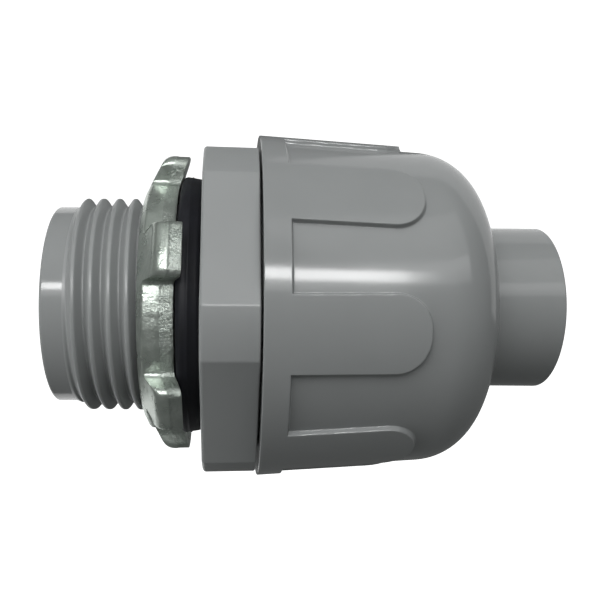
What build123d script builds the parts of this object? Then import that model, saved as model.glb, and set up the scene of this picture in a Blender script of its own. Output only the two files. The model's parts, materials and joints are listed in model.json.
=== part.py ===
from build123d import *

import os
from math import cos, hypot, radians, tan

# A straight liquid-tight connector for 20 mm flexible conduit, with an M20 wall thread.
# Millimetres. The axis is X: the wall thread points to -X and the conduit comes in from +X.
# X = 0 is the wall side of the hexagonal flange. Turns about X are counted from -Y towards -Z.

# Standard sizes that the connector is made for
thread_r = 10.0
conduit_r = 10.0
conduit_bore_r = 7.6

# Clearances
running = 0.05
seat_gap = 0.08
entry_slack = 0.1
socket_slack = 0.25
tube_slack = 0.1
ring_gap = 0.15

# How far a cutting shape runs past the face that it opens
cut_past = 1.0

# Body: pilot, wall thread, throat and inner tube
thread_length = 11.6
thread_lead_in = 0.55
pilot_step = 0.8
pilot_length = 2.1
pilot_edge = 0.25
tube_wall = 1.15
throat_flare = 1.6
tube_reach = 31.3
tube_edge = 0.2

# Body: hexagonal flange
flange_inset = 0.24
flange_flat_depth = 1.13
flange_thick = 4.7
flange_draft = 1.5
flange_edge = 0.3
flange_turn = 8.1

# Body: threaded skirt behind the flange, and the ring-shaped socket for the conduit's end
skirt_wall = 3.25
skirt_length = 9.6
skirt_edge = 0.3
socket_floor = 2.0
socket_round = 0.6
mouth_lip = 0.9
mouth_depth = 3.0

# Compression nut
nut_gap = 0.17
nut_wall = 2.32
nut_rim_width = 2.2
nut_rim_edge = 0.25
nut_taper = 4.0
nut_side = 14.17
nut_dome_round = 5.6
nut_lip_edge = 0.25
tongue_height = 0.45
tongue_root = 0.55
tongue_count = 8
tongue_width = 6.15
tongue_reach = 12.95
tongue_corner = 2.7
tongue_edge = 0.18
tongue_turn = 8.4

# Cone inside the nut, and the split grip ring that it closes
nut_thread_depth = 10.2
cone_step = 0.6
cone_angle = 14.0
cone_length = 5.4
grip_nose = 1.6
grip_groove = 0.5
grip_ridges = 4
grip_ridge_pitch = 1.6
grip_land = 0.7
grip_split = 1.6
grip_split_turn = 200.0

# Sealing ring
seal_thick = 2.0
seal_width = 2.15
seal_taper = 0.35
seal_round = 0.5

# Locknut: one dished stamping whose lugs lean towards the wall
locknut_thick = 2.62
locknut_lug_thick = 2.02
locknut_dish = 30.0
locknut_width = 1.65
lug_height = 2.3
locknut_hub_round = 0.8
locknut_roll = 0.3
lug_count = 6
lug_angle = 20.5
lug_turn = -19.5
lug_root = 0.8
lug_corner = 0.5

# Places along the axis, and radii, that several pieces share
hub_front = -thread_length - pilot_length
tube_r = conduit_bore_r - tube_slack
throat_r = tube_r - tube_wall
pilot_r = thread_r - pilot_step
socket_r = conduit_r + socket_slack
skirt_r = socket_r + skirt_wall
mouth_r = skirt_r - mouth_lip
nut_rim_r = skirt_r + running + nut_wall
flange_corner_r = nut_rim_r - flange_inset
flange_apothem = flange_corner_r - flange_flat_depth
skirt_end = flange_thick + skirt_length
mouth_start = skirt_end - mouth_depth
nut_front = flange_thick + nut_gap
nut_thread_end = nut_front + nut_thread_depth
cone_end = nut_thread_end + cone_length
cone_r = skirt_r - cone_step
cone_end_r = cone_r - cone_length * tan(radians(cone_angle))
opening_r = conduit_r + entry_slack
seal_front = -seat_gap - seal_thick
seal_r = thread_r + seal_width
locknut_floor_r = thread_r + locknut_width
locknut_lug_r = locknut_floor_r + lug_height


def turned(corners):
    """A solid turned about X. Each corner of its half section is (x, radius, rounding)."""
    section = make_face(Polyline(*[(x, r) for x, r, _ in corners], close=True)).face()
    for x, r, rounding in corners:
        if rounding:
            corner = section.vertices().sort_by_distance((x, r))[0]
            section = section.fillet_2d(rounding, [corner])
    return revolve(section, Axis.X)


def around_axis(shape, count, first_turn):
    """Copies of a shape that lies towards -Y, evenly spaced about the X axis."""
    return [Rot(X=first_turn + k * 360 / count) * shape for k in range(count)]


def axis_distance(item):
    """How far the middle of an edge or face lies from the X axis."""
    middle = item.center()
    return hypot(middle.Y, middle.Z)


def axis_reach(item):
    """The largest distance of an edge or face from the X axis."""
    box = item.bounding_box()
    return max(box.max.Y, -box.min.Y)


def nut_side_r(x):
    """Radius of the nut's raised surface at x."""
    return nut_rim_r - (x - nut_front) * tan(radians(nut_taper))


def flange():
    """Hexagon with draft and turned corners, bored to sit over the skirt's root."""
    draft = flange_thick * tan(radians(flange_draft))
    bore_r = (socket_r + skirt_r) / 2
    hexagon = Plane.YZ * RegularPolygon(flange_apothem, 6, major_radius=False)
    prism = Rot(X=flange_turn) * extrude(hexagon, flange_thick, taper=flange_draft)
    turning = turned([
        (0, bore_r, 0),
        (0, flange_corner_r, 0),
        (flange_thick, flange_corner_r - draft, 0),
        (flange_thick, bore_r, 0),
    ])
    blank = prism & turning
    outer_edges = blank.edges().filter_by(lambda edge: axis_distance(edge) > skirt_r)
    return fillet(outer_edges, flange_edge)


def hub_body():
    """Pilot, wall thread, hexagonal flange, threaded skirt and inner tube, moulded in one."""
    core = turned([
        (hub_front, throat_r, throat_flare),
        (hub_front, pilot_r, pilot_edge),
        (-thread_length, pilot_r, 0),
        (-thread_length + thread_lead_in, thread_r, 0),
        (0, thread_r, 0),
        (0, skirt_r, 0),
        (skirt_end, skirt_r, skirt_edge),
        (skirt_end, mouth_r, 0),
        (mouth_start, socket_r, 0),
        (socket_floor, socket_r, socket_round),
        (socket_floor, tube_r, socket_round),
        (tube_reach, tube_r, tube_edge),
        (tube_reach, throat_r, tube_edge),
    ])
    return core + flange()


def nut_grip():
    """The nut's rim band and its raised tongues, which run from the rim to the dome."""
    reach = nut_front + tongue_reach
    depth = tongue_height + tongue_root
    shell = turned([
        (nut_front, nut_rim_r, 0),
        (reach, nut_side_r(reach), 0),
        (reach, nut_side_r(reach) - depth, 0),
        (nut_front, nut_rim_r - depth, 0),
    ])
    outline = fillet(Rectangle(2 * tongue_reach, tongue_width).vertices(), tongue_corner)
    towards_front = Plane(origin=(nut_front, 0, 0), x_dir=(1, 0, 0), z_dir=(0, -1, 0))
    pad = extrude(towards_front * outline, 2 * nut_rim_r)
    keep = Pos(X=nut_front) * Rot(Y=90) * Cylinder(2 * nut_rim_r, 2 * nut_rim_width)
    for copy in around_axis(pad, tongue_count, tongue_turn):
        keep += copy
    raised = shell & keep
    top = raised.faces().filter_by(GeomType.CONE).sort_by(axis_reach)[-1]
    step_edges = [edge for edge in top.edges() if edge.center().X > nut_front + nut_rim_width / 2]
    raised = fillet(step_edges, tongue_edge)
    rim_edge = raised.edges().filter_by(GeomType.CIRCLE).sort_by(axis_reach)[-1]
    return fillet(rim_edge, nut_rim_edge)


def dome_nut():
    """Compression nut: rim, tapering side with raised tongues, dome, thread bore and cone."""
    dome_top = nut_front + nut_side + nut_dome_round
    outside = turned([
        (nut_front, 0, 0),
        (nut_front, nut_rim_r - tongue_height, 0),
        (dome_top, nut_side_r(dome_top) - tongue_height, nut_dome_round),
        (dome_top, 0, 0),
    ])
    inside = turned([
        (nut_front, 0, 0),
        (nut_front, skirt_r + running, 0),
        (nut_thread_end, skirt_r + running, 0),
        (nut_thread_end, cone_r, 0),
        (cone_end, cone_end_r, 0),
        (cone_end, opening_r, 0),
        (dome_top + cut_past, opening_r, 0),
        (dome_top + cut_past, 0, 0),
    ])
    nut = outside + nut_grip() - inside
    lip = nut.edges().filter_by(GeomType.CIRCLE).sort_by(Axis.X)[-1]
    return fillet(lip, nut_lip_edge)


def grip_ring():
    """Split ring: a nose for the skirt's mouth, a back cone for the nut, and biting ridges."""
    mouth_slope = (mouth_r - socket_r) / mouth_depth
    mouth_gap = ring_gap * hypot(1, mouth_slope)
    cone_gap = ring_gap / cos(radians(cone_angle))
    front = skirt_end - grip_nose
    back = cone_end - ring_gap
    front_r = mouth_r - grip_nose * mouth_slope - mouth_gap
    collar_r = cone_r - cone_gap
    collar_front = front + (collar_r - front_r) / mouth_slope
    back_r = cone_end_r + ring_gap * tan(radians(cone_angle)) - cone_gap
    ridges = []
    for k in range(grip_ridges):
        start = front + grip_land + k * grip_ridge_pitch
        ridges += [(start, opening_r + grip_groove, 0), (start, opening_r, 0)]
    ring = turned([
        (front, front_r, 0),
        (collar_front, collar_r, 0),
        (nut_thread_end, collar_r, 0),
        (back, back_r, 0),
        (back, opening_r, 0),
        *reversed(ridges),
        (front, opening_r, 0),
    ])
    towards_front = (Align.CENTER, Align.MAX, Align.CENTER)
    split = Pos(X=front) * Box(2 * (back - front), 2 * cone_r, grip_split, align=towards_front)
    return ring - Rot(X=grip_split_turn) * split


def face_seal():
    """Soft ring that seals the flange against the wall."""
    return turned([
        (seal_front, thread_r + running, 0),
        (seal_front, seal_r, seal_round),
        (-seat_gap, seal_r - seal_taper, seal_round),
        (-seat_gap, thread_r + running, 0),
    ])


def locknut_plan():
    """The stamping's outline seen along the axis: a ring's edge with lugs standing on it."""
    reach = 2 * locknut_lug_r
    spread = reach * tan(radians(lug_angle / 2))
    wedge = make_face(Polyline((0, 0), (-reach, -spread), (-reach, spread), close=True))
    plan = Circle(locknut_floor_r)
    for k in range(lug_count):
        plan += Rot(Z=lug_turn + k * 360 / lug_count) * wedge & Circle(locknut_lug_r)
    middle_r = (locknut_floor_r + locknut_lug_r) / 2
    tips = [corner for corner in plan.vertices() if hypot(corner.X, corner.Y) > middle_r]
    plan = fillet(tips, lug_corner)
    roots = [corner for corner in plan.vertices() if hypot(corner.X, corner.Y) < middle_r]
    return fillet(roots, lug_root)


def locknut():
    """Dished steel stamping: a hub that rises round the thread, a ring, and lugs round its rim."""
    rise = tan(radians(locknut_dish))
    bore_r = thread_r + running
    back = seal_front - seat_gap
    front = back - locknut_thick
    lug_front = front + (locknut_lug_r - locknut_floor_r) * rise
    hub_rise = (locknut_floor_r - bore_r) * rise
    dish = turned([
        (back - hub_rise, bore_r, 0),
        (back, locknut_floor_r, 0),
        (lug_front + locknut_lug_thick, locknut_lug_r, 0),
        (lug_front, locknut_lug_r, 0),
        (front - hub_rise, bore_r, locknut_hub_round),
    ])
    blank_front = front - hub_rise - cut_past
    blank = extrude(Plane.YZ * locknut_plan(), lug_front + locknut_lug_thick + cut_past - blank_front)
    stamping = dish & Pos(X=blank_front) * blank
    face = stamping.faces().filter_by(GeomType.CONE).sort_by(Axis.X)[0]
    rolled = [edge for edge in face.edges() if axis_reach(edge) > bore_r + locknut_hub_round]
    return fillet(rolled, locknut_roll)


pieces = {
    "hub_body": hub_body(),
    "face_seal": face_seal(),
    "locknut": locknut(),
    "grip_ring": grip_ring(),
    "dome_nut": dome_nut(),
}

os.makedirs("parts", exist_ok=True)
for name, piece in pieces.items():
    export_step(piece, f"parts/{name}.step")
    print(name, "solids", len(piece.solids()), "volume", round(piece.volume, 1))
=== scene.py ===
import json
from math import acos, atan2, cos, degrees, hypot, pi, radians, sin, sqrt, tan

import bpy
import numpy as np
from mathutils import Matrix, Vector


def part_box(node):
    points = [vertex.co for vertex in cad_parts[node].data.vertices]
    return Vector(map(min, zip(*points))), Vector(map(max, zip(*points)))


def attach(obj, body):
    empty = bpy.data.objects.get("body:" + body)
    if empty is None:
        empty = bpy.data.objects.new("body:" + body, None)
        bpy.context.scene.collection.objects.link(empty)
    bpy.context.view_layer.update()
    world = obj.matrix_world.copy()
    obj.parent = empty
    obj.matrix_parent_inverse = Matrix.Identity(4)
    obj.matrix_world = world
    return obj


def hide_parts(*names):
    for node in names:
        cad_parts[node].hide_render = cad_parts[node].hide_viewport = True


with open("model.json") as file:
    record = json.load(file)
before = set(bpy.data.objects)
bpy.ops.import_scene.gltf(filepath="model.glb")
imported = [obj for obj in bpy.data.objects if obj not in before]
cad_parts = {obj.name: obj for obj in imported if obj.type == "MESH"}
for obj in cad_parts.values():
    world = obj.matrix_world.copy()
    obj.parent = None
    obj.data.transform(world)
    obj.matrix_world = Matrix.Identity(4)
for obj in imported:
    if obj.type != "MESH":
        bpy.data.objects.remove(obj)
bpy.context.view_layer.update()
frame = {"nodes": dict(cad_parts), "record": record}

# A straight liquid-tight conduit connector. Lengths are millimetres until a mesh is made.
# The axis is X. Turns about it are counted from -Y, which faces the camera, towards -Z.
# The wall thread points to -X, and the conduit comes from +X.

MM = 0.001


def node_span(node):
    """Lowest and highest X of a CAD node, in millimetres."""
    low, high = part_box(node)
    return low[0] / MM, high[0] / MM


# Places and radii from the frame
HUB_FRONT, TUBE_END = node_span("hub_body")
NUT_FRONT = node_span("dome_nut")[0]
SEAL_FRONT, SEAL_BACK = node_span("face_seal")
MOUNTS = {mount["name"]: mount for mount in frame["record"]["mounts"]}
THREAD_R = MOUNTS["hub_thread"]["dims"]["r_mm"]
THROAT_R = MOUNTS["throat"]["dims"]["r_mm"]
TUBE_R = MOUNTS["conduit_spigot"]["dims"]["r_mm"]

# Bore of the pieces that sit on the wall thread
THREAD_BORE_R = THREAD_R + 0.05

# Hub: pilot and throat. The hub's outline starts and ends inside the throat.
PILOT_R = 9.2
PILOT_ROUND = 0.25
THROAT_ROUND = 1.6
OUTLINE_START = 3.0
OUTLINE_END = 8.0

# Hub: wall thread. Its crest and flank are shares of half a pitch.
THREAD_START = HUB_FRONT + 1.9
THREAD_FULL = HUB_FRONT + 2.75
THREAD_END = -0.05
THREAD_STEP = 0.06
THREAD_PITCH = 1.5
THREAD_DEPTH = 0.8
THREAD_CREST_X = -10.73
THREAD_CREST = 0.2
THREAD_FLANK = 0.72
THREAD_SOFT = (-0.08, -0.04, 0.0, 0.04, 0.08)

# Hub: hexagonal flange, whose corners are turned off. Its turns are degrees, and the mesh is finer
# within EDGE_HALF of each edge.
FLANGE_THICK = 4.7
FLANGE_APOTHEM = 14.5
FLANGE_CORNER_R = 15.63
FLANGE_DRAFT = 0.12
FLANGE_ROUND = 0.3
FLANGE_BACK_ROUND = 0.15
FLANGE_BLEND = 0.7
FLANGE_TURN = 8.1
FLANGE_SOFT = 0.05
CORNER_HALF = 30 - degrees(acos(FLANGE_APOTHEM / FLANGE_CORNER_R))
EDGE_HALF = 0.8

# Hub: skirt with its coarse thread, which fades in over SKIRT_FADE
SKIRT_R = 13.5
SKIRT_EDGE = 0.2
SKIRT_START = FLANGE_THICK + SKIRT_EDGE
SKIRT_END = FLANGE_THICK + 9.6
SKIRT_STEP = 0.25
SKIRT_PITCH = 3.0
SKIRT_DEPTH = 0.8
SKIRT_FLANK = (0.35, 0.65)
SKIRT_FADE = 1.0
SKIRT_BEVEL = 0.3

# Hub: coned mouth, socket for the conduit, and inner tube
MOUTH_R = 12.6
MOUTH_DEPTH = 3
SOCKET_R = 10.25
SOCKET_BOTTOM = 2.0
SOCKET_ROUND = 0.6
TUBE_ROUND = 0.2
TUBE_BORE_ROUND = 0.3

# Compression nut: tapered side, rim and raised tongues
NUT_RIM_R = 15.87
NUT_LOW_R = 15.42
NUT_RIM_WIDTH = 2.2
NUT_TAPER = tan(radians(4.0))
NUT_EDGE_ROUND = 0.1
TONGUE_COUNT = 8
TONGUE_TURN = 8.4
TONGUE_HALF = 3.075
TONGUE_REACH = 12.95
TONGUE_CORNER = 2.7
TONGUE_HEIGHT = NUT_RIM_R - NUT_LOW_R
TONGUE_WALL = 0.07

# Compression nut: dome and bore
NUT_SIDE = 14.17
DOME_ROUND = 5.6
DOME_TOP = NUT_FRONT + NUT_SIDE + DOME_ROUND
OPENING_R = 10.1
LIP_ROUND = 0.25
NUT_BORE_R = 13.55
CONE_START = NUT_FRONT + 10.2
CONE_END = CONE_START + 5.4
CONE_WIDE_R = 12.9
CONE_TIGHT_R = 11.55

# Sealing ring: its rim leans a little and has a parting line
SEAL_FRONT_R = 12.15
SEAL_LINE_R = (11.98, 12.06, 11.96)
SEAL_LINE_X = SEAL_FRONT + 0.95
SEAL_LINE_HALF = 0.08
SEAL_BACK_R = 11.8
SEAL_ROUND = 0.5
SEAL_BORE_ROUND = 0.15

# Locknut: stamped outline. Angles are degrees, or shares of half a lug or of a gap.
LUG_COUNT = 6
LUG_TURN = -19.5
LUG_ANGLE = 20.5
LUG_R = 13.95
LUG_ARC = (-0.3, 0.0, 0.3)
LUG_CORNER = 0.65
GAP_ARC = (0.12, 0.31, 0.5, 0.69, 0.88)
GAP_CORNER = 0.45
FLOOR_R = 11.65

# Locknut: section. Pairs of values hold in the gaps and on the lugs.
LOCKNUT_BACK = SEAL_FRONT - 0.08
LOCKNUT_THICK = 2.62
LOCKNUT_FRONT = LOCKNUT_BACK - LOCKNUT_THICK
LUG_THICK = 2.02
DISH = tan(radians(30))
BORE_ROUND = 0.8
ROLL = (0.25, 0.75)
ROLL_LENGTH = (0.35, 1.0)
SHEARED_FROM = (0.5, 0.25)
SHEARED_INSET = 0.04
SHEARED_LEAN = 0.03
BACK_EDGE = 0.1


def smooth(edge0, edge1, value):
    """Smooth step from 0 at edge0 to 1 at edge1."""
    t = np.clip((value - edge0) / (edge1 - edge0), 0, 1)
    return t * t * (3 - 2 * t)


def rounded(corners, closed=True, arc_step=15.0, max_step=None):
    """Points along a line through corners (a, b, rounding), with an arc at each rounded corner."""
    points = []
    count = len(corners)
    for i, (a, b, rounding) in enumerate(corners):
        here = Vector((a, b))
        if not rounding or (not closed and i in (0, count - 1)):
            points.append(here)
            continue
        before = (Vector(corners[i - 1][:2]) - here).normalized()
        after = (Vector(corners[(i + 1) % count][:2]) - here).normalized()
        half = before.angle(after) / 2
        centre = here + (before + after).normalized() * (rounding / sin(half))
        start = here + before * (rounding / tan(half)) - centre
        turn = start.angle_signed(here + after * (rounding / tan(half)) - centre)
        steps = max(2, round(abs(degrees(turn)) / arc_step))
        points += [centre + Matrix.Rotation(-turn * k / steps, 2) @ start for k in range(steps + 1)]
    if max_step is None:
        return points
    filled = []
    for i, point in enumerate(points):
        following = points[(i + 1) % len(points)]
        filled.append(point)
        if not closed and i == len(points) - 1:
            break
        pieces = int((following - point).length // max_step)
        filled += [point.lerp(following, (k + 1) / (pieces + 1)) for k in range(pieces)]
    return filled


def grid_mesh(name, x, y, z, slots=None):
    """A closed mesh from a grid of points in millimetres that wraps round both ways."""
    rows, columns = x.shape
    verts = np.stack([x, y, z], axis=-1).reshape(-1, 3) * MM
    i, j = np.meshgrid(np.arange(rows), np.arange(columns), indexing="ij")
    i2, j2 = (i + 1) % rows, (j + 1) % columns
    faces = np.stack([i * columns + j, i * columns + j2, i2 * columns + j2, i2 * columns + j], axis=-1)
    mesh = bpy.data.meshes.new(name)
    mesh.from_pydata(verts.tolist(), [], faces.reshape(-1, 4).tolist())
    mesh.validate()
    mesh.shade_smooth()
    if slots is not None:
        mesh.polygons.foreach_set("material_index", np.repeat(slots, columns).astype(np.int32))
    piece = bpy.data.objects.new(name, mesh)
    bpy.context.scene.collection.objects.link(piece)
    return piece


def turned(name, profile, angles, shape=None, slots=None):
    """A turned mesh from profile points (x, r). shape(x, r, angle) returns new radii."""
    x = np.array([p[0] for p in profile])[:, None] + 0 * angles[None, :]
    r = np.array([p[1] for p in profile])[:, None] + 0 * angles[None, :]
    phi = angles[None, :] + 0 * x
    if shape is not None:
        r = shape(x, r, phi)
    return grid_mesh(name, x, -r * np.cos(phi), -r * np.sin(phi), slots)


def even_angles(count):
    """Evenly spaced angles round the axis, in radians."""
    return np.arange(count) * 2 * pi / count


def repeated_angles(one, count, first_turn):
    """One sector's angles in degrees, repeated round the axis, each once and in order, in radians."""
    every = np.concatenate([first_turn + 360 / count * k + one for k in range(count)])
    return np.radians(np.unique(np.round(every % 360, 3)))


def off_middle(phi, count, first_turn):
    """Angle from the middle of the nearest of count even sectors, in radians."""
    period = 2 * pi / count
    return (phi - radians(first_turn) + period / 2) % period - period / 2


# Node materials

class Finish:
    """A node material on a Principled shader. Its patterns are fixed to the piece."""

    def __init__(self, name):
        self.material = bpy.data.materials.new(name)
        self.material.use_nodes = True
        self.tree = self.material.node_tree
        self.shader = self.tree.nodes["Principled BSDF"]

    def set(self, socket, value):
        self.shader.inputs[socket].default_value = value

    def add(self, kind, **values):
        """A new node with its sockets set."""
        node = self.tree.nodes.new(kind)
        for key, value in values.items():
            node.inputs[key].default_value = value
        return node

    def noise(self, scale, detail, roughness=0.5):
        """Noise that the steps below can use."""
        place = self.add("ShaderNodeTexCoord")
        noise = self.add("ShaderNodeTexNoise", Scale=scale, Detail=detail, Roughness=roughness)
        self.tree.links.new(place.outputs["Object"], noise.inputs["Vector"])
        return noise.outputs["Fac"]

    def tint(self, noise, dark, light):
        mix = self.tree.nodes.new("ShaderNodeMix")
        mix.data_type = "RGBA"
        mix.inputs["A"].default_value = (*dark, 1)
        mix.inputs["B"].default_value = (*light, 1)
        self.tree.links.new(noise, mix.inputs["Factor"])
        self.tree.links.new(mix.outputs["Result"], self.shader.inputs["Base Color"])

    def vary_roughness(self, noise, low, high):
        span = self.tree.nodes.new("ShaderNodeMapRange")
        span.inputs["To Min"].default_value = low
        span.inputs["To Max"].default_value = high
        self.tree.links.new(noise, span.inputs["Value"])
        self.tree.links.new(span.outputs["Result"], self.shader.inputs["Roughness"])

    def bump(self, noise, strength, distance):
        """Fine relief. The distance is in metres."""
        bump = self.add("ShaderNodeBump", Strength=strength, Distance=distance)
        self.tree.links.new(noise, bump.inputs["Height"])
        self.tree.links.new(bump.outputs["Normal"], self.shader.inputs["Normal"])


def moulded_plastic(name, dark, light, roughness):
    """Moulded plastic with faint mottling and a little orange peel."""
    finish = Finish(name)
    cloud = finish.noise(160.0, 3.0, 0.55)
    finish.tint(cloud, dark, light)
    finish.vary_roughness(cloud, roughness - 0.03, roughness + 0.04)
    finish.bump(finish.noise(900.0, 4.0, 0.6), 0.06, 0.00003)
    finish.set("Specular IOR Level", 0.5)
    return finish.material


def soft_rubber(name):
    """Black seal rubber with a slight blue cast and fine moulding marks."""
    finish = Finish(name)
    grain = finish.noise(700.0, 4.0)
    finish.tint(grain, (0.007, 0.007, 0.008), (0.011, 0.012, 0.017))
    finish.bump(grain, 0.25, 0.00005)
    finish.set("Roughness", 0.55)
    finish.set("Specular IOR Level", 0.25)
    return finish.material


def zinc_plate(name, roughness, grain_scale, grain_strength, dark, light):
    """Bright zinc plate over stamped steel, with cloudy passivation."""
    finish = Finish(name)
    cloud = finish.noise(600.0, 4.0, 0.6)
    finish.tint(cloud, dark, light)
    finish.vary_roughness(cloud, roughness - 0.08, roughness + 0.12)
    finish.bump(finish.noise(grain_scale, 5.0, 0.65), grain_strength, 0.00015)
    finish.set("Metallic", 0.88)
    return finish.material


def white_light(name, strength):
    """Plain white that shines by itself, so that no shadow falls on it."""
    finish = Finish(name)
    finish.set("Base Color", (1, 1, 1, 1))
    finish.set("Emission Color", (1, 1, 1, 1))
    finish.set("Emission Strength", strength)
    finish.set("Roughness", 1.0)
    return finish.material


GREY_DARK, GREY_LIGHT = (0.232, 0.241, 0.241), (0.26, 0.269, 0.269)
GREY = moulded_plastic("grey_plastic", GREY_DARK, GREY_LIGHT, 0.12)
THREAD_GREY = moulded_plastic("grey_thread", GREY_DARK, GREY_LIGHT, 0.34)
RUBBER = soft_rubber("black_rubber")
ZINC = zinc_plate("zinc_plate", 0.27, 1400.0, 0.6, (0.28, 0.33, 0.285), (0.7, 0.75, 0.7))
SHEARED = zinc_plate("sheared_zinc", 0.3, 2900.0, 1.0, (0.2, 0.235, 0.205), (0.58, 0.62, 0.58))
NYLON = moulded_plastic("natural_nylon", (0.6, 0.58, 0.53), (0.66, 0.64, 0.59), 0.45)


def dress(piece, body, slot, node, *materials):
    """Materials, body and the CAD node that a piece stands for. The slot is not used."""
    for material in materials:
        piece.data.materials.append(material)
    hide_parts(node)
    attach(piece, body)


def hexagon_r(phi):
    """Radius of the flange's hexagon, whose corners are turned off, with slightly soft edges."""
    off = off_middle(phi, 6, FLANGE_TURN)
    flat = FLANGE_APOTHEM / np.cos(pi / 6 - np.abs(off))
    near = np.maximum(FLANGE_SOFT - np.abs(flat - FLANGE_CORNER_R), 0)
    return np.minimum(flat, FLANGE_CORNER_R) - near ** 2 / (4 * FLANGE_SOFT)


def hub_angles():
    """Angles round the hub, closer together at the hexagon's edges."""
    edge = np.linspace(-EDGE_HALF, EDGE_HALF, 9)
    land = np.linspace(-CORNER_HALF + EDGE_HALF, CORNER_HALF - EDGE_HALF, 12)
    flat = np.linspace(CORNER_HALF + EDGE_HALF, 60 - CORNER_HALF - EDGE_HALF, 33)
    sector = np.concatenate([CORNER_HALF + edge, -CORNER_HALF + edge, land, flat])
    return repeated_angles(sector, 6, FLANGE_TURN)


def from_crest(x, phi, first_x, pitch):
    """Distance from a right-hand thread's nearest crest, as a share of half the pitch."""
    turn = (x - first_x) / pitch - phi / (2 * pi)
    return np.abs(turn - np.round(turn)) * 2


def wall_thread_r(x, phi):
    """Radius of the wall thread, which grows out of the pilot."""
    height = smooth(THREAD_START, THREAD_FULL, x)
    away = from_crest(x, phi, THREAD_CREST_X, THREAD_PITCH)
    slopes = [1 - np.clip((away + soft - THREAD_CREST) / THREAD_FLANK, 0, 1) for soft in THREAD_SOFT]
    root = PILOT_R + (THREAD_R - THREAD_DEPTH - PILOT_R) * height
    return root + (THREAD_R - root) * np.mean(slopes, axis=0) * height


def flange_r(r, phi):
    """Radius on the flange: round at the skirt's radius and hexagonal further out."""
    share = np.clip((r - SKIRT_R) / (FLANGE_CORNER_R - FLANGE_BLEND - SKIRT_R), 0, 1)
    return r * (1 - share + share * hexagon_r(phi) / FLANGE_CORNER_R)


def skirt_thread_r(x, phi):
    """Radius of the skirt's coarse thread."""
    away = from_crest(x, phi, FLANGE_THICK, SKIRT_PITCH)
    crest = (1 - smooth(*SKIRT_FLANK, away)) * smooth(SKIRT_START, SKIRT_START + SKIRT_FADE, x)
    return SKIRT_R - SKIRT_DEPTH * (1 - crest)


def make_hub():
    """Pilot, wall thread, hexagonal flange, threaded skirt, socket and inner tube."""
    front = rounded([(OUTLINE_START, THROAT_R, 0), (HUB_FRONT, THROAT_R, THROAT_ROUND),
                     (HUB_FRONT, PILOT_R, PILOT_ROUND), (THREAD_START, PILOT_R, 0)],
                    closed=False, arc_step=10)
    thread_x = np.arange(THREAD_START + THREAD_STEP, THREAD_END, THREAD_STEP)
    thread = [Vector((x, THREAD_R)) for x in thread_x]
    flange = rounded([(0.0, THREAD_R, 0), (0.0, FLANGE_CORNER_R, FLANGE_ROUND),
                      (FLANGE_THICK, FLANGE_CORNER_R - FLANGE_DRAFT, FLANGE_BACK_ROUND),
                      (FLANGE_THICK, SKIRT_R, 0)], closed=False, arc_step=18)
    skirt = [Vector((x, SKIRT_R)) for x in np.arange(SKIRT_START, SKIRT_END - SKIRT_EDGE, SKIRT_STEP)]
    socket = rounded([(SKIRT_END - SKIRT_EDGE, SKIRT_R, 0), (SKIRT_END, SKIRT_R - SKIRT_BEVEL, 0),
                      (SKIRT_END, MOUTH_R, 0), (SKIRT_END - MOUTH_DEPTH, SOCKET_R, 0),
                      (SOCKET_BOTTOM, SOCKET_R, SOCKET_ROUND), (SOCKET_BOTTOM, TUBE_R, SOCKET_ROUND),
                      (TUBE_END, TUBE_R, TUBE_ROUND), (TUBE_END, THROAT_R, TUBE_BORE_ROUND),
                      (OUTLINE_END, THROAT_R, 0)], closed=False, arc_step=15)
    sections = {"front": front, "thread": thread, "flange": flange, "skirt": skirt, "socket": socket}
    profile = [point for section in sections.values() for point in section]
    kind = np.repeat(list(sections), [len(section) for section in sections.values()])[:, None]

    def shape(x, r, phi):
        return np.select([kind == "thread", kind == "flange", kind == "skirt"],
                         [wall_thread_r(x, phi), flange_r(r, phi), skirt_thread_r(x, phi)], r)

    soft_gloss = np.isin(kind[:, 0], ("thread", "flange"))
    hub = turned("connector_body", profile, hub_angles(), shape, soft_gloss.astype(int))
    dress(hub, "hub", "grey_plastic", "hub_body", GREY, THREAD_GREY)


def nut_angles():
    """Angles round the nut, closer together where the tongues' sides are."""
    half = 180 / TONGUE_COUNT
    one = np.concatenate([np.arange(0, 7, 0.7), np.arange(7, 10.3, 0.3), np.arange(10.3, 12.7, 0.15),
                          np.arange(12.7, half - 0.2, 0.7)])
    return repeated_angles(np.concatenate([-one, one]), TONGUE_COUNT, TONGUE_TURN)


def nut_low_r(x):
    """Radius of the nut's side between the tongues."""
    return NUT_LOW_R - (x - NUT_FRONT) * NUT_TAPER


def nut_side():
    """Profile points along the nut's side, closer together at the rim's step and the tongues' tips."""
    step = NUT_FRONT + NUT_RIM_WIDTH
    tip = NUT_FRONT + TONGUE_REACH
    arc = tip - TONGUE_CORNER
    places = np.concatenate([np.arange(NUT_FRONT + 0.5, step - 0.3, 0.4),
                             np.arange(step - 0.15, step + 0.16, 0.05),
                             np.arange(step + 0.5, arc - 0.3, 0.6),
                             np.arange(arc, tip + 0.3, 0.08)])
    return [Vector((x, nut_low_r(x))) for x in places]


def nut_dome():
    """Profile points over the dome and round the lip of the opening."""
    start = NUT_FRONT + TONGUE_REACH + 0.4
    whole = rounded([(start, nut_low_r(start), 0), (DOME_TOP, nut_low_r(DOME_TOP), DOME_ROUND),
                     (DOME_TOP, 0, 0)], closed=False, arc_step=4)
    dome = [point for point in whole if point.y > OPENING_R + 2 * LIP_ROUND]
    centre_x = DOME_TOP - DOME_ROUND
    centre_r = nut_low_r(centre_x) - DOME_ROUND * sqrt(1 + NUT_TAPER ** 2)
    lip_x = centre_x + sqrt(DOME_ROUND ** 2 - (OPENING_R - centre_r) ** 2)
    lip = rounded([(*dome[-1], 0), (lip_x, OPENING_R, LIP_ROUND), (CONE_END, OPENING_R, 0)],
                  closed=False, arc_step=15)
    return dome + lip[1:]


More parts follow.
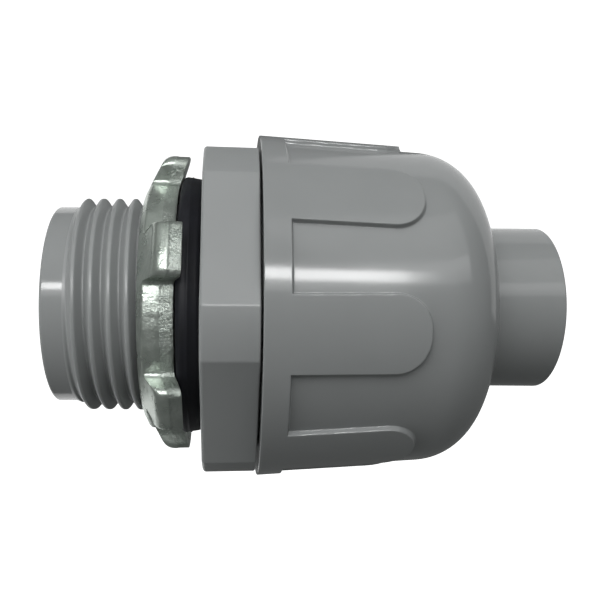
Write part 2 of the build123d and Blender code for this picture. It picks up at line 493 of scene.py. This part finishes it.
def make_nut():
    """Compression nut with its raised rim and tongues, dome, and bore with the inner cone."""
    edge_x = NUT_FRONT + 0.4
    front = rounded([(NUT_FRONT, NUT_BORE_R, 0), (NUT_FRONT, NUT_LOW_R, NUT_EDGE_ROUND),
                     (edge_x, nut_low_r(edge_x), 0)], closed=False)
    shell = front + nut_side() + nut_dome()
    bore = [(CONE_END, CONE_TIGHT_R), (CONE_START, CONE_WIDE_R), (CONE_START, NUT_BORE_R),
            (NUT_FRONT + 0.3, NUT_BORE_R)]
    profile = shell + [Vector(point) for point in bore]
    outside = (np.arange(len(profile)) < len(shell))[:, None]

    def shape(x, r, phi):
        off = off_middle(phi, TONGUE_COUNT, TONGUE_TURN)
        across = np.abs(r * np.sin(off)) - (TONGUE_HALF - TONGUE_CORNER)
        along = (x - NUT_FRONT) - (TONGUE_REACH - TONGUE_CORNER)
        outline = np.hypot(np.maximum(across, 0), np.maximum(along, 0))
        outline = outline + np.minimum(np.maximum(across, along), 0) - TONGUE_CORNER
        tongue = 1 - smooth(-TONGUE_WALL, TONGUE_WALL, outline)
        rim = 1 - smooth(-TONGUE_WALL, TONGUE_WALL, x - NUT_FRONT - NUT_RIM_WIDTH)
        raised = outside & (r > NUT_BORE_R + 0.15)
        return r + TONGUE_HEIGHT * np.maximum(tongue, rim) * raised

    nut = turned("compression_nut", profile, nut_angles(), shape)
    dress(nut, "nut", "grey_plastic", "dome_nut", GREY)


def make_seal():
    """Black sealing ring with a fine parting line round its rim."""
    line = [(SEAL_LINE_X + side * SEAL_LINE_HALF, r, 0) for side, r in zip((-1, 0, 1), SEAL_LINE_R)]
    profile = rounded([(SEAL_FRONT, THREAD_BORE_R, SEAL_BORE_ROUND),
                       (SEAL_FRONT, SEAL_FRONT_R, SEAL_ROUND), *line,
                       (SEAL_BACK, SEAL_BACK_R, SEAL_ROUND),
                       (SEAL_BACK, THREAD_BORE_R, SEAL_BORE_ROUND)])
    seal = turned("sealing_ring", profile, even_angles(240))
    dress(seal, "seal", "black_rubber", "face_seal", RUBBER)


def finish_grip_ring():
    """Split nylon ring: its CAD solid has the right shape and only takes a finish."""
    ring = frame["nodes"]["grip_ring"]
    ring.data.materials.clear()
    ring.data.materials.append(NYLON)


def locknut_outline():
    """Points round the locknut's stamped outline, seen along the axis, with rounded corners."""
    half = radians(LUG_ANGLE / 2)
    gap = 2 * pi / LUG_COUNT - 2 * half
    corners = []
    for k in range(LUG_COUNT):
        middle = radians(LUG_TURN) + k * 2 * pi / LUG_COUNT
        polar = [(FLOOR_R, middle - half, GAP_CORNER), (LUG_R, middle - half, LUG_CORNER)]
        polar += [(LUG_R, middle + share * half, 0) for share in LUG_ARC]
        polar += [(LUG_R, middle + half, LUG_CORNER), (FLOOR_R, middle + half, GAP_CORNER)]
        polar += [(FLOOR_R, middle + half + gap * share, 0) for share in GAP_ARC]
        corners += [(r * cos(turn), r * sin(turn), rounding) for r, turn, rounding in polar]
    return rounded(corners, arc_step=12, max_step=0.3)


def locknut_front_x(r):
    """The dished front face."""
    return LOCKNUT_FRONT + (r - FLOOR_R) * DISH


def locknut_back_x(r):
    """The back face: dished like the front, and flatter on the lugs, which get thinner to the tip."""
    lean = LUG_THICK - LOCKNUT_THICK + (LUG_R - FLOOR_R) * DISH
    slope = np.where(r < FLOOR_R, DISH, lean / (LUG_R - FLOOR_R))
    return LOCKNUT_BACK + (r - FLOOR_R) * slope


def make_locknut():
    """Lugged, dished stamping with rolled front edges and a sheared rim."""
    outline = locknut_outline()
    rim = np.array([hypot(*point) for point in outline])[None, :]
    phi = np.array([atan2(point[1], point[0]) for point in outline])[None, :]
    lift = np.clip((rim - FLOOR_R) / (LUG_R - FLOOR_R), 0, 1)
    pairs = (ROLL, ROLL_LENGTH, SHEARED_FROM)
    roll, roll_length, sheared = (in_gap + (on_lug - in_gap) * lift for in_gap, on_lug in pairs)
    flat_start = THREAD_BORE_R + BORE_ROUND
    flat_end = rim - roll
    rows = []

    # From the bore, over the front face and its rolled edge to the rim
    for turn in (0, 22, 45, 68, 90):
        r = THREAD_BORE_R + BORE_ROUND * (1 - cos(radians(turn))) + 0 * rim
        rows.append((locknut_front_x(r) + BORE_ROUND * (1 - sin(radians(turn))), r, 0))
    for share in np.linspace(0.12, 1.0, 9):
        r = flat_start + (flat_end - flat_start) * share
        rows.append((locknut_front_x(r), r, 0))
    for turn in range(9, 91, 9):
        r = flat_end + roll * sin(radians(turn))
        rows.append((locknut_front_x(flat_end) + roll_length * (1 - cos(radians(turn))), r, 0))

    # Along the rim: the smooth part, then the sheared part, which stands back a little
    start = rows[-1][0]
    length = locknut_back_x(rim) - start
    for share in (0.1, 0.5, 0.95):
        rows.append((start + length * share * sheared, rim, 0))
    for part in (0.0, 0.3, 0.6, 0.93):
        r = rim - SHEARED_INSET - SHEARED_LEAN * part
        rows.append((start + length * (sheared + (1 - sheared) * part), r, 1))

    # Down the back face to the bore
    for share in np.linspace(0.0, 1.0, 7):
        r = rim - BACK_EDGE - (rim - BACK_EDGE - THREAD_BORE_R) * share
        rows.append((locknut_back_x(r), r, 0))

    x = np.concatenate([row[0] for row in rows])
    r = np.concatenate([row[1] for row in rows])
    slots = np.array([row[2] for row in rows])
    locknut = grid_mesh("lugged_locknut", x, -r * np.cos(phi), -r * np.sin(phi), slots)
    dress(locknut, "locknut", "zinc_steel", "locknut", ZINC, SHEARED)


# Camera: the photograph's close, sideways view, a little off the middle of the object

PIXELS = 600
PIXELS_PER_MM = 10.43
CAMERA_DEPTH_PX = 740
VIEW_AXIS_PX = (230, 304.9)
AXIS_START_PX = 205.6
CAMERA_ROLL = 0.45


def add_camera():
    """A camera square to the axis, with a shift that puts the object where the photograph has it."""
    data = bpy.data.cameras.new("camera")
    data.sensor_width = 36.0
    data.lens = data.sensor_width * CAMERA_DEPTH_PX / PIXELS
    data.shift_x = (PIXELS / 2 - VIEW_AXIS_PX[0]) / PIXELS
    data.shift_y = (VIEW_AXIS_PX[1] - PIXELS / 2) / PIXELS
    data.clip_start = 0.001
    data.clip_end = 10.0
    camera = bpy.data.objects.new("camera", data)
    x = (VIEW_AXIS_PX[0] - AXIS_START_PX) / PIXELS_PER_MM
    place = Matrix.Translation((x * MM, -CAMERA_DEPTH_PX / PIXELS_PER_MM * MM, 0))
    turn = Matrix.Rotation(radians(90), 4, "X") @ Matrix.Rotation(radians(CAMERA_ROLL), 4, "Z")
    camera.matrix_world = place @ turn
    bpy.context.scene.collection.objects.link(camera)
    bpy.context.scene.camera = camera


def add_light(name, place, size, power, gloss, aim=(0, 0, 0)):
    """A soft light at place, in metres, that points at aim and is seen only in gloss, or not in it."""
    data = bpy.data.lights.new(name, "AREA")
    data.shape = "RECTANGLE"
    data.size, data.size_y = size
    data.energy = power
    light = bpy.data.objects.new(name, data)
    direction = Vector(aim) - Vector(place)
    light.rotation_euler = direction.to_track_quat("-Z", "Y").to_euler()
    light.location = place
    light.visible_glossy = gloss
    light.visible_diffuse = not gloss
    light.visible_camera = False
    bpy.context.scene.collection.objects.link(light)


def add_lights():
    """Broad lights for the shading, and narrow ones for the long highlights on the nut and the tube."""
    add_light("softbox", (-0.02, -0.22, 0.2), (0.34, 0.26), 0.83, gloss=False)
    add_light("left_fill", (-0.25, -0.12, 0.02), (0.25, 0.25), 0.17, gloss=False)
    add_light("pilot_fill", (-0.085, -0.026, -0.026), (0.04, 0.04), 0.019, gloss=False, aim=(-0.013, 0, 0))
    add_light("back_fill", (0.0, 0.33, 0.04), (0.3, 0.3), 0.45, gloss=False)
    add_light("strip", (0.0, -0.273, 0.098), (0.25, 0.036), 0.47, gloss=True)
    add_light("strip_glow", (0.0, -0.283, 0.066), (0.25, 0.04), 0.055, gloss=True)
    add_light("right_strip", (0.165, -0.2, 0.1), (0.2, 0.07), 0.05, gloss=True)
    add_light("right_glow", (0.16, -0.18, 0.19), (0.22, 0.2), 0.08, gloss=True)


def stage_piece(name, material, for_camera):
    """Names and dresses the object just made. It is seen only by the camera, or only in gloss."""
    piece = bpy.context.object
    piece.name = name
    piece.data.materials.append(material)
    piece.visible_diffuse = False
    piece.visible_shadow = False
    piece.visible_glossy = not for_camera
    piece.visible_camera = for_camera
    return piece


def add_stage():
    """Floor and backdrop that only the camera sees, and two walls behind that only gloss sees."""
    white = white_light("white_stage", 1.0)
    upright = (radians(90), 0, 0)
    bpy.ops.mesh.primitive_plane_add(size=2.0, location=(0, 0, -0.12))
    floor = stage_piece("floor", white, for_camera=True)
    bpy.ops.mesh.primitive_uv_sphere_add(segments=48, ring_count=24, radius=1.5)
    backdrop = stage_piece("backdrop", white, for_camera=True)
    bpy.ops.mesh.primitive_plane_add(size=0.9, location=(-0.53, 0.4, 0), rotation=upright)
    left_wall = stage_piece("left_wall", white_light("left_wall", 0.62), for_camera=False)
    bpy.ops.mesh.primitive_plane_add(size=1.4, location=(0.84, 0.4, 0.65), rotation=upright)
    right_wall = stage_piece("right_wall", white_light("right_wall", 0.4), for_camera=False)


ROOM_COLOUR = (0.97, 1.0, 0.99, 1)
ROOM_LIGHT = 0.13
GLOW_LIGHT = 0.3
GLOW_DIRECTION = (0.0, -0.68, 0.73)
GLOW_EDGE = 0.35


def add_world():
    """Dim room light, with a broad soft glow above and in front that fades out evenly."""
    world = bpy.data.worlds.new("studio")
    world.use_nodes = True
    tree = world.node_tree
    link = tree.links.new
    place = tree.nodes.new("ShaderNodeTexCoord")
    towards = tree.nodes.new("ShaderNodeVectorMath")
    towards.operation = "DOT_PRODUCT"
    towards.inputs[1].default_value = GLOW_DIRECTION
    link(place.outputs["Generated"], towards.inputs[0])
    glow = tree.nodes.new("ShaderNodeMapRange")
    glow.interpolation_type = "SMOOTHSTEP"
    glow.inputs["From Min"].default_value = GLOW_EDGE
    glow.inputs["From Max"].default_value = 1.0
    glow.inputs["To Min"].default_value = ROOM_LIGHT
    glow.inputs["To Max"].default_value = ROOM_LIGHT + GLOW_LIGHT
    link(towards.outputs["Value"], glow.inputs["Value"])
    sky = tree.nodes["Background"]
    sky.inputs["Color"].default_value = ROOM_COLOUR
    link(glow.outputs["Result"], sky.inputs["Strength"])
    bpy.context.scene.world = world


make_hub()
make_nut()
make_seal()
finish_grip_ring()
make_locknut()

add_camera()
add_lights()
add_stage()
add_world()
bpy.context.scene.view_settings.view_transform = "Standard"
